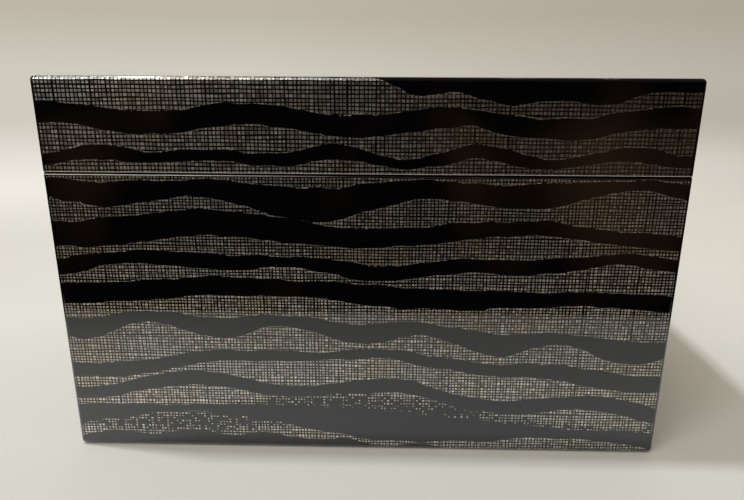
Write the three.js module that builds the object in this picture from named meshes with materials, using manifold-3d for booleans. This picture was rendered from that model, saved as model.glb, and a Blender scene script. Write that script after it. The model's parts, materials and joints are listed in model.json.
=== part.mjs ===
// Tea utensil box: a lacquered wooden box with a flush lid and a hanging inner tray.
//
// The box is jointed from boards. Each board frame is finger jointed at its corners, and the
// bottom and top boards are pegged to the frames. A skin of coarse cloth and lacquer is glued over
// the outside, and a tin rim covers the mouth edge of the body and of the lid. Thin mitred lining
// boards stand inside the body and rise above its mouth: the lid drops over them, and the tray
// hangs from their top edge by its flange.
//
// Millimetres. +Z is up, the front faces -Y, and the origin is the middle of the underside.
import * as THREE from "three";
import { mergeVertices } from "three/addons/utils/BufferGeometryUtils.js";
import Module from "manifold-3d";

const wasm = await Module();
wasm.setup();

// Driving dimensions: the outside.
const boxWidth = 220;
const boxDepth = 155;
const bodyHeight = 106;
const lidHeight = 32;
const cornerRadius = 1.6;
const innerCornerRadius = 0.2;
const lidEdgeRadius = 1.5;
const footEdgeRadius = 1.8;

// Driving dimensions: the shell.
const skinThickness = 0.8;
const skinTurnUnder = 9;
const bodyWallThickness = 5;
const bottomThickness = 6;
const standProud = 0.2;
const lidBoardThickness = 5.5;
const rimThickness = 0.6;
const rimEdgeRadius = 0.5;
const glueFilm = 0.1;

// Driving dimensions: the lining that locates the lid.
const liningThickness = 2.4;
const liningRise = 7;
const liningEdgeRadius = 0.6;
const lidClearance = 0.3;

// Driving dimensions: the hanging tray.
const trayWallThickness = 3;
const trayWallHeight = 24;
const trayFloorThickness = 2.6;
const trayFloorRaise = 1.6;
const trayGrooveDepth = 1.5;
const trayClearance = 0.8;
const flangeThickness = 2.4;
const flangeEdgeRadius = 0.9;

// Driving dimensions: the joinery.
const bodyFingers = 7;
const lidFingers = 3;
const trayFingers = 5;
const pegRadius = 1.1;
const pegBite = 11;
const pegSink = 0.9;
const lidPegBite = 9;
const pegEndMargin = 26;

// Facets of the round stretches.
const cornerSteps = 5;
const edgeSteps = 5;
const pegSides = 12;

// Places that follow from the driving dimensions, as insets from the outer face or heights.
const boxHeight = bodyHeight + lidHeight;
const coreInset = skinThickness + glueFilm;
const liningInset = coreInset + bodyWallThickness + glueFilm;
const hollowInset = liningInset + liningThickness;
const lidWallThickness = liningInset - lidClearance - coreInset;
const liningTop = bodyHeight + liningRise;
const bodyWallBottom = bottomThickness + glueFilm;
const bodyWallTop = bodyHeight - rimThickness - glueFilm;
const lidWallBottom = bodyHeight + rimThickness + glueFilm;
const lidBoardTop = boxHeight - skinThickness - glueFilm;
const lidBoardBottom = lidBoardTop - lidBoardThickness;
const lidWallTop = lidBoardBottom - glueFilm;
const trayInset = hollowInset + trayClearance;
const trayHollowInset = trayInset + trayWallThickness;
const trayTop = liningTop - glueFilm;
const trayBottom = trayTop - trayWallHeight;
const trayFloorBottom = trayBottom + trayFloorRaise;

// Finishes.
const clothLacquer = new THREE.MeshStandardMaterial({ color: 0x3a3631, roughness: 0.25, metalness: 0.2 });
const blackLacquer = new THREE.MeshStandardMaterial({ color: 0x0b0b0c, roughness: 0.12, metalness: 0 });
const tin = new THREE.MeshStandardMaterial({ color: 0xb9b6a8, roughness: 0.35, metalness: 1 });
const coreWood = new THREE.MeshStandardMaterial({ color: 0xc7a878, roughness: 0.7, metalness: 0 });
const pegWood = new THREE.MeshStandardMaterial({ color: 0x9c7a4b, roughness: 0.7, metalness: 0 });

// A closed three.js geometry as a manifold solid.
function solidOf(geometry) {
  const bare = geometry.clone();
  for (const name of Object.keys(bare.attributes)) {
    if (name !== "position") bare.deleteAttribute(name);
  }
  const merged = mergeVertices(bare, 1e-4);
  return new wasm.Manifold(new wasm.Mesh({
    numProp: 3,
    vertProperties: new Float32Array(merged.attributes.position.array),
    triVerts: new Uint32Array(merged.index.array),
  }));
}

// A manifold solid as a three.js geometry.
function geometryOf(solid) {
  const mesh = solid.getMesh();
  const geometry = new THREE.BufferGeometry();
  geometry.setAttribute("position", new THREE.BufferAttribute(new Float32Array(mesh.vertProperties), 3));
  geometry.setIndex(new THREE.BufferAttribute(new Uint32Array(mesh.triVerts), 1));
  geometry.computeVertexNormals();
  return geometry;
}

// A rectangular block between two limits on each axis.
function block([x0, x1], [y0, y1], [z0, z1]) {
  const geometry = new THREE.BoxGeometry(x1 - x0, y1 - y0, z1 - z0);
  geometry.translate((x0 + x1) / 2, (y0 + y1) / 2, (z0 + z1) / 2);
  return solidOf(geometry);
}

// A round peg or hole along Z.
function roundBar(x, y, z0, z1, radius) {
  const geometry = new THREE.CylinderGeometry(radius, radius, z1 - z0, pegSides);
  geometry.rotateX(Math.PI / 2);
  geometry.translate(x, y, (z0 + z1) / 2);
  return solidOf(geometry);
}

// The box's plan outline, drawn in from the outer faces by an inset, at one height.
function planRing(inset, z) {
  const halfWidth = boxWidth / 2 - inset;
  const halfDepth = boxDepth / 2 - inset;
  const radius = Math.max(cornerRadius - inset, innerCornerRadius);
  const corners = [[1, -1], [1, 1], [-1, 1], [-1, -1]];
  return corners.flatMap(([sideX, sideY], corner) =>
    Array.from({ length: cornerSteps + 1 }, (_, step) => {
      const angle = (corner - 1 + step / cornerSteps) * (Math.PI / 2);
      return new THREE.Vector3(
        sideX * (halfWidth - radius) + radius * Math.cos(angle),
        sideY * (halfDepth - radius) + radius * Math.sin(angle),
        z,
      );
    }));
}

// A skin of triangles through plan rings. A profile is a list of [inset, z]. With capped set, the
// first and last rings are closed by flat faces; without it, the last ring joins the first.
function loft(profile, capped) {
  const rings = profile.map(([inset, z]) => planRing(inset, z));
  const count = rings[0].length;
  const index = [];
  const spans = capped ? rings.length - 1 : rings.length;
  for (let ring = 0; ring < spans; ring++) {
    const low = ring * count;
    const high = ((ring + 1) % rings.length) * count;
    for (let i = 0; i < count; i++) {
      const j = (i + 1) % count;
      index.push(low + i, low + j, high + j, low + i, high + j, high + i);
    }
  }
  if (capped) {
    const top = (rings.length - 1) * count;
    for (let i = 1; i < count - 1; i++) {
      index.push(0, i + 1, i, top, top + i, top + i + 1);
    }
  }
  const geometry = new THREE.BufferGeometry().setFromPoints(rings.flat());
  geometry.setIndex(index);
  return solidOf(geometry);
}

// A solid whose sides follow the box's plan. Its profile runs from the lowest ring to the highest.
function plate(profile) {
  return loft(profile, true);
}

// A closed frame round the box's plan. Its profile runs up the outside and down the inside.
function frame(profile) {
  return loft(profile, false);
}

// Points of a quarter round, from one angle to another a quarter turn on, as [inset, z].
function quarterRound(centreInset, centreZ, radius, fromDegrees) {
  return Array.from({ length: edgeSteps + 1 }, (_, step) => {
    const angle = THREE.MathUtils.degToRad(fromDegrees + (90 * step) / edgeSteps);
    return [centreInset - radius * Math.cos(angle), centreZ + radius * Math.sin(angle)];
  });
}

// Cuts a frame into four mitred strips: front, right, back and left.
function mitredStrips(solid, zLow, zHigh) {
  const reach = boxDepth / 2;
  const margin = 1;
  const kerf = glueFilm * Math.SQRT1_2;
  const outX = boxWidth / 2 + margin;
  const outY = boxDepth / 2 + margin;
  const inX = outX - (reach + margin);
  const long = (side) => [
    [-outX + kerf, side * outY], [outX - kerf, side * outY], [inX - kerf, 0], [-inX + kerf, 0],
  ];
  const short = (side) => [
    [side * outX, -outY + kerf], [side * outX, outY - kerf], [side * (inX + kerf), 0],
  ];
  const wedges = { front: long(-1), right: short(1), back: long(1), left: short(-1) };
  return Object.fromEntries(Object.entries(wedges).map(([side, points]) => {
    const shape = new THREE.Shape(points.map(([x, y]) => new THREE.Vector2(x, y)));
    const wedge = new THREE.ExtrudeGeometry(shape, { depth: zHigh - zLow + 2, bevelEnabled: false });
    wedge.translate(0, 0, zLow - 1);
    return [side, solid.intersect(solidOf(wedge))];
  }));
}

// The stretch from near to far on one side of the middle, as limits from low to high.
function stretch(side, near, far) {
  return side > 0 ? [near, far] : [-far, -near];
}

// Four boards round the box's plan, finger jointed where they cross at the corners. The front and
// back boards keep the fingers at the top and bottom, and the left and right boards fill between.
function jointedBoards({ inset, thickness, zLow, zHigh, fingers }) {
  const halfWidth = boxWidth / 2 - inset;
  const halfDepth = boxDepth / 2 - inset;
  const pitch = (zHigh - zLow) / fingers;
  const past = 1;
  const outline = plate([[inset, zLow], [inset, zHigh]]);
  const socketHeights = (parity) => Array.from({ length: fingers }, (_, i) => i)
    .filter((i) => i % 2 === parity)
    .map((i) => [
      i === 0 ? zLow - past : zLow + i * pitch - glueFilm / 2,
      i === fingers - 1 ? zHigh + past : zLow + (i + 1) * pitch + glueFilm / 2,
    ]);
  const longBoard = (side) => {
    const y = stretch(side, halfDepth - thickness, halfDepth);
    let board = block([-halfWidth, halfWidth], y, [zLow, zHigh]);
    for (const z of socketHeights(1)) {
      for (const end of [-1, 1]) {
        const x = stretch(end, halfWidth - thickness - glueFilm, halfWidth + past);
        board = board.subtract(block(x, [y[0] - past, y[1] + past], z));
      }
    }
    return board.intersect(outline);
  };
  const shortBoard = (side) => {
    const x = stretch(side, halfWidth - thickness, halfWidth);
    let board = block(x, [-halfDepth, halfDepth], [zLow, zHigh]);
    for (const z of socketHeights(0)) {
      for (const end of [-1, 1]) {
        const y = stretch(end, halfDepth - thickness - glueFilm, halfDepth + past);
        board = board.subtract(block([x[0] - past, x[1] + past], y, z));
      }
    }
    return board.intersect(outline);
  };
  return { front: longBoard(-1), right: shortBoard(1), back: longBoard(1), left: shortBoard(-1) };
}

// Where the pegs stand: three along each long board and one in the middle of each short board.
function pegPlaces(inset, thickness) {
  const y = boxDepth / 2 - inset - thickness / 2;
  const x = boxWidth / 2 - inset - thickness / 2;
  const reach = boxWidth / 2 - pegEndMargin;
  const long = [-reach, 0, reach];
  return [
    ...long.map((at) => ["front", at, -y]),
    ["right", x, 0],
    ...long.map((at) => ["back", at, y]),
    ["left", -x, 0],
  ];
}

// The body's cloth and lacquer skin: up the four sides, round the foot edge and turned under.
function bodySkin() {
  const top = bodyWallTop + glueFilm;
  const footCentre = standProud + footEdgeRadius;
  return frame([
    [skinTurnUnder, standProud],
    ...quarterRound(footEdgeRadius, footCentre, footEdgeRadius, -90),
    [0, top],
    [skinThickness, top],
    ...quarterRound(footEdgeRadius, footCentre, footEdgeRadius - skinThickness, -90).reverse(),
    [skinTurnUnder, standProud + skinThickness],
  ]);
}

// The bottom board, rebated round its lower face for the turned-under skin and bored for the pegs.
// The box stands on its middle, which is a little proud of the skin.
function bottomBoard() {
  const footCentre = standProud + footEdgeRadius;
  const rebate = skinTurnUnder + glueFilm;
  let board = plate([
    [rebate, 0],
    [rebate, standProud + coreInset],
    ...quarterRound(footEdgeRadius, footCentre, footEdgeRadius - coreInset, -90),
    [coreInset, bottomThickness],
  ]);
  for (const [, x, y] of pegPlaces(coreInset, bodyWallThickness)) {
    board = board.subtract(roundBar(x, y, 0, bottomThickness + 1, pegRadius + glueFilm));
  }
  return board;
}

// The body's four walls, bored from below for the pegs.
function bodyWalls() {
  const walls = jointedBoards({
    inset: coreInset, thickness: bodyWallThickness, zLow: bodyWallBottom, zHigh: bodyWallTop,
    fingers: bodyFingers,
  });
  for (const [side, x, y] of pegPlaces(coreInset, bodyWallThickness)) {
    const hole = roundBar(x, y, bodyWallBottom - 1, bodyWallBottom + pegBite, pegRadius + glueFilm);
    walls[side] = walls[side].subtract(hole);
  }
  return walls;
}

// The lining: a thin frame inside the walls whose rounded top edge stands above the mouth.
function liningStrips() {
  const zLow = bottomThickness + glueFilm;
  const inner = hollowInset - liningEdgeRadius;
  const outer = liningInset + liningEdgeRadius;
  const shoulder = liningTop - liningEdgeRadius;
  return mitredStrips(frame([
    [liningInset, zLow],
    ...quarterRound(outer, shoulder, liningEdgeRadius, 0),
    ...quarterRound(inner, shoulder, liningEdgeRadius, 90),
    [hollowInset, zLow],
  ]), zLow, liningTop);
}

// The tin rim on the body's mouth, with its outer edge rounded towards the seam.
function bodyRim() {
  const low = bodyHeight - rimThickness;
  const inner = liningInset - glueFilm;
  return frame([
    [0, low],
    ...quarterRound(rimEdgeRadius, bodyHeight - rimEdgeRadius, rimEdgeRadius, 0),
    [inner, bodyHeight],
    [inner, low],
  ]);
}

// The tin rim on the lid's mouth, the same section turned over.
function lidRim() {
  const high = bodyHeight + rimThickness;
  const inner = liningInset - lidClearance;
  return frame([
    [inner, bodyHeight],
    ...quarterRound(rimEdgeRadius, bodyHeight + rimEdgeRadius, rimEdgeRadius, -90),
    [0, high],
    [inner, high],
  ]);
}

// The lid's skin: one shell over the top and down the four sides.
function lidSkin() {
  const bottom = bodyHeight + rimThickness;
  const outside = plate([
    [0, bottom],
    ...quarterRound(lidEdgeRadius, boxHeight - lidEdgeRadius, lidEdgeRadius, 0),
  ]);
  const inside = plate([
    [skinThickness, bottom - 1],
    [skinThickness, boxHeight - skinThickness],
  ]);
  return outside.subtract(inside);
}

// The lid's top board, bored for the pegs.
function lidBoard() {
  let board = plate([[coreInset, lidBoardBottom], [coreInset, lidBoardTop]]);
  for (const [, x, y] of pegPlaces(coreInset, lidWallThickness)) {
    board = board.subtract(roundBar(x, y, lidBoardBottom - 1, lidBoardTop + 1, pegRadius + glueFilm));
  }
  return board;
}

// The lid's four walls, bored from above for the pegs.
function lidWalls() {
  const walls = jointedBoards({
    inset: coreInset, thickness: lidWallThickness, zLow: lidWallBottom, zHigh: lidWallTop,
    fingers: lidFingers,
  });
  for (const [side, x, y] of pegPlaces(coreInset, lidWallThickness)) {
    const hole = roundBar(x, y, lidWallTop - lidPegBite, lidWallTop + 1, pegRadius + glueFilm);
    walls[side] = walls[side].subtract(hole);
  }
  return walls;
}

// The tray's four walls, grooved inside near the foot for the floor panel.
function trayWalls() {
  const walls = jointedBoards({
    inset: trayInset, thickness: trayWallThickness, zLow: trayBottom, zHigh: trayTop,
    fingers: trayFingers,
  });
  const groove = plate([
    [trayHollowInset - trayGrooveDepth, trayFloorBottom],
    [trayHollowInset - trayGrooveDepth, trayFloorBottom + trayFloorThickness],
  ]);
  return Object.fromEntries(Object.entries(walls).map(([side, wall]) => [side, wall.subtract(groove)]));
}

// The tray's floor panel, with its edges in the walls' grooves.
function trayFloor() {
  const edge = trayHollowInset - trayGrooveDepth + glueFilm;
  const low = trayFloorBottom + glueFilm;
  return plate([[edge, low], [edge, low + trayFloorThickness - 2 * glueFilm]]);
}

// The tray's flange: a mitred frame glued on the walls, which rests on the lining's top edge.
function flangeStrips() {
  const outer = liningInset;
  const inner = trayHollowInset;
  const low = liningTop;
  const high = liningTop + flangeThickness;
  return mitredStrips(frame([
    [inner, low],
    [outer, low],
    ...quarterRound(outer + flangeEdgeRadius, high - flangeEdgeRadius, flangeEdgeRadius, 0),
    ...quarterRound(inner - flangeEdgeRadius, high - flangeEdgeRadius, flangeEdgeRadius, 90),
  ]), low, high);
}

// Adds a solid to a group as one named mesh.
function add(group, name, solid, material) {
  const mesh = new THREE.Mesh(geometryOf(solid), material);
  mesh.name = name;
  group.add(mesh);
}

// Adds the four solids of a frame, one for each side, named by the side and the piece.
function addSides(group, prefix, piece, solids, material) {
  for (const [side, solid] of Object.entries(solids)) {
    add(group, `${prefix}_${side}_${piece}`, solid, material);
  }
}

// Adds a row of pegs, numbered round the box from the front left.
function addPegs(group, prefix, places, zLow, zHigh) {
  places.forEach(([, x, y], i) => {
    add(group, `${prefix}_peg_${i + 1}`, roundBar(x, y, zLow, zHigh, pegRadius), pegWood);
  });
}

function makeBody() {
  const body = new THREE.Group();
  add(body, "body_cloth_skin", bodySkin(), clothLacquer);
  add(body, "bottom_board", bottomBoard(), blackLacquer);
  addSides(body, "body", "wall", bodyWalls(), coreWood);
  addSides(body, "lining", "strip", liningStrips(), blackLacquer);
  add(body, "body_tin_rim", bodyRim(), tin);
  const places = pegPlaces(coreInset, bodyWallThickness);
  const pegFoot = standProud + coreInset + pegSink;
  addPegs(body, "bottom", places, pegFoot, bodyWallBottom + pegBite - glueFilm);
  return body;
}

function makeLid() {
  const lid = new THREE.Group();
  add(lid, "lid_cloth_skin", lidSkin(), clothLacquer);
  add(lid, "lid_top_board", lidBoard(), blackLacquer);
  addSides(lid, "lid", "wall", lidWalls(), blackLacquer);
  add(lid, "lid_tin_rim", lidRim(), tin);
  const places = pegPlaces(coreInset, lidWallThickness);
  addPegs(lid, "lid", places, lidWallTop - lidPegBite + glueFilm, lidBoardTop - glueFilm);
  return lid;
}

function makeTray() {
  const tray = new THREE.Group();
  addSides(tray, "tray", "wall", trayWalls(), blackLacquer);
  add(tray, "tray_floor", trayFloor(), blackLacquer);
  addSides(tray, "tray", "flange", flangeStrips(), blackLacquer);
  return tray;
}

const teaBox = new THREE.Group();
teaBox.add(makeBody(), makeLid(), makeTray());

export default teaBox;
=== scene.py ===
# %% [markdown]
# # A lacquered box for tea utensils
#
# The real box is jointed from boards, covered with coarse cloth and lacquered. Tin powder fills the
# gaps of the cloth, black lacquer keeps the threads and a set of wavy bands dark, and clear lacquer
# over everything is polished to a mirror. The boards, rims, lining and tray come from the model, at
# their real size. This script makes the two lacquered skins and the finish of every surface.

import json
import math
import random

import bpy
from mathutils import Matrix, Vector


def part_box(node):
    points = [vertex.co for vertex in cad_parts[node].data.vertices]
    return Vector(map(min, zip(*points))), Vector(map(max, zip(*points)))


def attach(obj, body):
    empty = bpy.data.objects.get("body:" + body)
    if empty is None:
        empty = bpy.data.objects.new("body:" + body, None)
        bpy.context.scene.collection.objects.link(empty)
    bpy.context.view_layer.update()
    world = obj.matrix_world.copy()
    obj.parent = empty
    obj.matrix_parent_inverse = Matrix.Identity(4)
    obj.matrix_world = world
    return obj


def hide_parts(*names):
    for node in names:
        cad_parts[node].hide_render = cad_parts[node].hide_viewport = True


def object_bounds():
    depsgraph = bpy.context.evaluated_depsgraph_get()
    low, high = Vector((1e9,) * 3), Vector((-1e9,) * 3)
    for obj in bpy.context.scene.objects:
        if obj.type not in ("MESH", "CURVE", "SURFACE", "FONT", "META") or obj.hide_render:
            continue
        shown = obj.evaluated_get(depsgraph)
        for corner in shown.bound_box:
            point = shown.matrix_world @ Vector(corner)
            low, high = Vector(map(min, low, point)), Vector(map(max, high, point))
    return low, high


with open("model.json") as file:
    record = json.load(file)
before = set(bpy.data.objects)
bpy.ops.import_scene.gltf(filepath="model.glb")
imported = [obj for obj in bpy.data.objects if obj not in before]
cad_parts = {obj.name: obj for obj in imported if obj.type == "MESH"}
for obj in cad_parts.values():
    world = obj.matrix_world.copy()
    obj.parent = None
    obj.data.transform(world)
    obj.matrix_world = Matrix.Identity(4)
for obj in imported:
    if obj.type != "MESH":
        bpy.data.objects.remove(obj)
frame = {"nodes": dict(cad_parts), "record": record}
cad_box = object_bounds()

# %% [markdown]
# ## Sizes
#
# Blender works in metres and a box maker works in millimetres, so lengths are written in millimetres
# and multiplied by one constant. The outside comes from the model. The small roundings of the skin
# are the ones that the model has, drawn here with more steps, because a mirror finish shows each one.

# %% Sizes of the box
MM = 0.001
low, high = (Vector(corner) / MM for corner in cad_box)
box_width = high.x - low.x
box_depth = high.y - low.y
box_height = high.z
body_skin_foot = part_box("body_cloth_skin")[0].z / MM
body_skin_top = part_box("body_cloth_skin")[1].z / MM
lid_skin_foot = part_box("lid_cloth_skin")[0].z / MM
wrap_length = 2 * (box_width + box_depth)

corner_radius = 1.6
inner_corner_radius = 0.2
lid_edge_radius = 1.5
foot_edge_radius = 1.8
skin_thickness = 0.8
skin_turn_under = 9.0
corner_steps = 10
edge_steps = 10
print(f"box {box_width:.1f} x {box_depth:.1f} x {box_height:.1f} mm, {wrap_length:.0f} mm round")

# %% [markdown]
# ## The camera
#
# The photograph was taken from close by, just above the level of the lid, tilted down at the front
# face. A close camera makes the box taper downwards in the picture, so the distance matters as much
# as the lens. The values were fitted to the corners of the front face.

# %% Camera
picture_width = 744
focal_pixels = 612.5
sensor_width = 36.0
camera_place = Vector((6.7, -box_depth / 2 - 205.1, 139.7))
camera_pitch = math.radians(16.26)
camera_yaw = math.radians(-1.14)
camera_roll = math.radians(0.28)

camera_data = bpy.data.cameras.new("camera")
camera_data.sensor_width = sensor_width
camera_data.lens = sensor_width * focal_pixels / picture_width
camera_data.clip_start = 0.01
camera = bpy.data.objects.new("camera", camera_data)
bpy.context.scene.collection.objects.link(camera)
turn_to_face = Matrix.Rotation(-camera_yaw, 4, "Z") @ Matrix.Rotation(math.pi / 2 - camera_pitch, 4, "X")
camera.matrix_world = (
    Matrix.Translation(camera_place * MM) @ turn_to_face @ Matrix.Rotation(camera_roll, 4, "Z")
)
bpy.context.scene.camera = camera
print(f"lens {camera_data.lens:.2f} mm")

# %% [markdown]
# ## Helpers for materials
#
# Colours are written as the hex values that a picture editor shows. Blender mixes light in linear
# values, so one function converts them. A second one adds a node, sets it up and links its inputs, and
# a third one starts a material. Soft edges are written as pairs of numbers: where the edge starts and
# where it ends.

# %% Helpers
def colour(hex_value):
    """An sRGB hex colour as linear red, green, blue and alpha."""
    channels = [int(hex_value[i:i + 2], 16) / 255 for i in (1, 3, 5)]
    linear = [c / 12.92 if c <= 0.04045 else ((c + 0.055) / 1.055) ** 2.4 for c in channels]
    return (*linear, 1.0)


def add(tree, kind, inputs=None, **settings):
    """Adds a shader node of a kind, such as Math.

    An input is a value, a hex colour, a node's output, or a node for its first output.
    """
    made = tree.nodes.new("ShaderNode" + kind)
    for name, value in settings.items():
        setattr(made, name, value)
    for socket, value in (inputs or {}).items():
        if isinstance(value, str):
            value = colour(value)
        if isinstance(value, bpy.types.Node):
            value = value.outputs[0]
        if isinstance(value, bpy.types.NodeSocket):
            tree.links.new(value, made.inputs[socket])
        else:
            made.inputs[socket].default_value = value
    return made


def start_material(name):
    """A new material with an empty node tree and its output."""
    material = bpy.data.materials.new(name)
    material.use_nodes = True
    material.node_tree.nodes.clear()
    output = add(material.node_tree, "OutputMaterial")
    return material, material.node_tree, output


print("tin powder grey in linear values:", [round(c, 3) for c in colour("#8a8070")[:3]])

# %% [markdown]
# ## The ground: threads and powder
#
# The ground is a plain weave laid flat in lacquer. The lid has the coarser cloth, with a thread about
# every 1.35 mm, and the body has one about every 1.2 mm. Hand-laid cloth is never regular: the threads
# drift and sway, lie a little off their place, and a few are thick. So each direction of thread is made
# from a position that noise shifts. The nearest whole number of pitches is the thread, and that number
# also draws the thread's width and its own small shift.

# %% Threads one way
# A weave is (pitch, thinnest, thickest) for the upright threads and for the level ones. The pitch is
# in millimetres, and the other two are half widths as shares of the pitch.
lid_weave = ((1.36, 0.13, 0.24), (1.33, 0.17, 0.25))
body_weave = ((1.2, 0.16, 0.27), (1.1, 0.2, 0.3))
thick_thread_rarity = 5.0
thread_softness = 0.045
thread_shift = 0.09
drift_length = 3.2
sway_length = 26.0
drift_reach = 0.45


def threads(tree, place, axis, weave, thickening):
    """The gaps that the threads leave across one axis: how open the cloth is, and the gap's number."""
    pitch, thinnest, thickest = weave[axis]
    rates = [1 / drift_length, 1 / sway_length] if axis == 0 else [1 / sway_length, 1 / drift_length]
    slow = add(tree, "VectorMath", {0: place, 1: (*rates, 0.0)}, operation="MULTIPLY")
    drift = add(tree, "TexNoise", {"Vector": slow, "Scale": 1.0, "Detail": 2.0}, noise_dimensions="2D")
    split = add(tree, "SeparateXYZ", {0: place})
    shifted = add(tree, "Math", {0: drift, 1: 2 * drift_reach, 2: split.outputs[axis]},
                  operation="MULTIPLY_ADD")
    count = add(tree, "Math", {0: shifted, 1: pitch}, operation="DIVIDE")
    nearest = add(tree, "Math", {0: count}, operation="ROUND")
    lot = add(tree, "TexWhiteNoise", {"W": nearest}, noise_dimensions="1D")
    lots = add(tree, "SeparateXYZ", {0: lot.outputs["Color"]})
    own_shift = add(tree, "MapRange", {
        "Value": lots.outputs[1], "To Min": -thread_shift, "To Max": thread_shift,
    })
    middle = add(tree, "Math", {0: nearest, 1: own_shift}, operation="ADD")
    away = add(tree, "Math", {0: count, 1: middle}, operation="SUBTRACT")
    distance = add(tree, "Math", {0: away}, operation="ABSOLUTE")
    thickness_lot = add(tree, "Math", {0: lot.outputs["Value"], 1: thick_thread_rarity},
                        operation="POWER")
    half_width = add(tree, "MapRange", {"Value": thickness_lot, "To Min": thinnest, "To Max": thickest})
    thread_edge = add(tree, "Math", {0: half_width, 1: thickening}, operation="ADD")
    gap_edge = add(tree, "Math", {0: thread_edge, 1: thread_softness}, operation="ADD")
    open_share = add(tree, "MapRange", {
        "Value": distance, "From Min": thread_edge, "From Max": gap_edge,
    }, interpolation_type="SMOOTHSTEP")
    past_thread = add(tree, "Math", {0: away, 1: 0.0}, operation="GREATER_THAN")
    gap_number = add(tree, "Math", {0: nearest, 1: past_thread}, operation="ADD")
    return open_share, gap_number


print(f"upright threads per 10 mm: lid {10 / lid_weave[0][0]:.1f}, body {10 / body_weave[0][0]:.1f}")

# %% [markdown]
# ## The bands
#
# Mist or stream bands are a common pattern. Each one here is a height, a half thickness and two
# waves that lift and swell it. The waves fit a whole number of times round the box, so each band
# meets itself at the corner. Inside a band the distance to its edge is positive, and the largest
# such value over all bands says how deep in black lacquer a point is.

# %% Bands round the box
# Each band is (height, half thickness, wave, wave). A wave is (times round the box, place of a
# crest, rise, swell). Places are in millimetres from the front left corner.
lid_bands = [
    (142.2, 4.6, (3, 45, 8.0, 0.0), (24, 142, 1.4, 0.2)),
    (124.0, 3.5, (11, 72, 1.9, -0.3), (3, 40, 0.7, 0.2)),
    (112.0, 2.2, (17, 16, 1.2, 0.2), (13, 92, 0.9, 0.3)),
]
body_bands = [
    (99.6, 4.0, (10, 55, 2.0, -1.0), (4, 0, 1.8, -0.9)),
    (86.3, 3.7, (7, 58, 2.2, 0.0), (2, 15, 0.6, 1.3)),
    (74.2, 2.7, (5, 45, 1.9, -0.2), (13, 28, 1.1, -0.4)),
    (62.3, 3.4, (2, 60, 2.4, 0.3), (6, 68, 1.3, -0.5)),
    (47.6, 3.3, (15, 82, 2.0, -0.8), (2, 45, 4.2, -0.2)),
    (35.0, 2.7, (3, 95, 4.8, -0.8), (12, 55, 1.1, 0.0)),
    (21.9, 2.8, (2, 60, 5.2, -0.1), (10, 120, 2.6, 0.2)),
    (9.9, 4.2, (2, 50, 5.2, -0.2), (5, 118, -1.6, 2.3)),
    (0.9, 2.5, (3, 45, 1.7, 1.4), (25, 43, 0.7, 0.3)),
]
# Near the foot the powder is worn thin along a stretch that is laid out in the same way.
thin_stretch = (14.0, 3.0, (3, 85, 0.0, 3.0), (4, 115, 4.0, 0.0))


def wave_terms(waves):
    """The turning rates and starting angles of two waves, for the vector maths below."""
    rates = [2 * math.pi * times / wrap_length for times, *_ in waves]
    angles = [-rate * crest for rate, (_, crest, *_) in zip(rates, waves)]
    return rates, angles


def depth_in_bands(tree, along, up, bands):
    """How many millimetres inside the nearest band a point is; negative outside every band."""
    along_twice = add(tree, "CombineXYZ", {0: along, 1: along})
    deepest = None
    for height, half, *waves in bands:
        rates, angles = wave_terms(waves)
        turned = add(tree, "VectorMath", {
            0: along_twice, 1: (*rates, 0.0), 2: (*angles, 0.0),
        }, operation="MULTIPLY_ADD")
        # The third part of this vector is the cosine of nought, which is one.
        swing = add(tree, "VectorMath", {0: turned}, operation="COSINE")
        centre = add(tree, "VectorMath", {
            0: swing, 1: (waves[0][2], waves[1][2], height),
        }, operation="DOT_PRODUCT")
        reach = add(tree, "VectorMath", {
            0: swing, 1: (waves[0][3], waves[1][3], half),
        }, operation="DOT_PRODUCT")
        offset = add(tree, "Math", {0: up, 1: centre.outputs["Value"]}, operation="SUBTRACT")
        distance = add(tree, "Math", {0: offset}, operation="ABSOLUTE")
        depth = add(tree, "Math", {0: reach.outputs["Value"], 1: distance}, operation="SUBTRACT")
        if deepest is None:
            deepest = depth
        else:
            deepest = add(tree, "Math", {0: deepest, 1: depth}, operation="MAXIMUM")
    return deepest


print(len(lid_bands) + len(body_bands), "bands on the sides")

# %% [markdown]
# ## Bands over the lid's top
#
# The photograph shows only the top's front edge, where the ground and one band run on over the
# rounding. So the top goes on in the same way. Each band follows the swing of the one before it, a
# little weaker, and a seeded draw gives the rest.

# %% Bands on the top
top_band_pitch = 11.4
first_pitch_share = 1.2
pitch_spread = (0.92, 1.08)
half_thickness_spread = (2.4, 3.8)
swing_kept = 0.82
crest_spread = (-15, 15)
short_wave_times = (9, 13)
short_wave_rises = (1.0, 1.9)
long_wave_swell, short_wave_swell = 0.5, -0.4
draw = random.Random(7)
top_bands = [lid_bands[0]]
edge_height, _, (edge_times, edge_crest, edge_rise, _), _ = lid_bands[0]
top_height = edge_height + first_pitch_share * top_band_pitch
top_rise = edge_rise
while top_height < box_height + box_depth + top_band_pitch:
    top_rise *= swing_kept
    long_wave = (edge_times, edge_crest + draw.uniform(*crest_spread), top_rise, long_wave_swell)
    short_wave = (draw.randint(*short_wave_times), draw.uniform(0, box_width),
                  draw.uniform(*short_wave_rises), short_wave_swell)
    top_bands.append((top_height, draw.uniform(*half_thickness_spread), long_wave, short_wave))
    top_height += top_band_pitch * draw.uniform(*pitch_spread)
print(len(top_bands), "bands on the top")

# %% [markdown]
# ## Lacquer over cloth
#
# Urushi lacquer has an index of refraction near 1.5. The black coat and the clear coat over it both
# reflect, about 4 percent each, which is why the black parts turn grey where they mirror a white
# table. The powder between the threads is tin: metal, dull, and warm under the clear coat. Black and
# powder therefore differ in colour, in metal and in roughness, and share one smooth clear coat.

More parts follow.
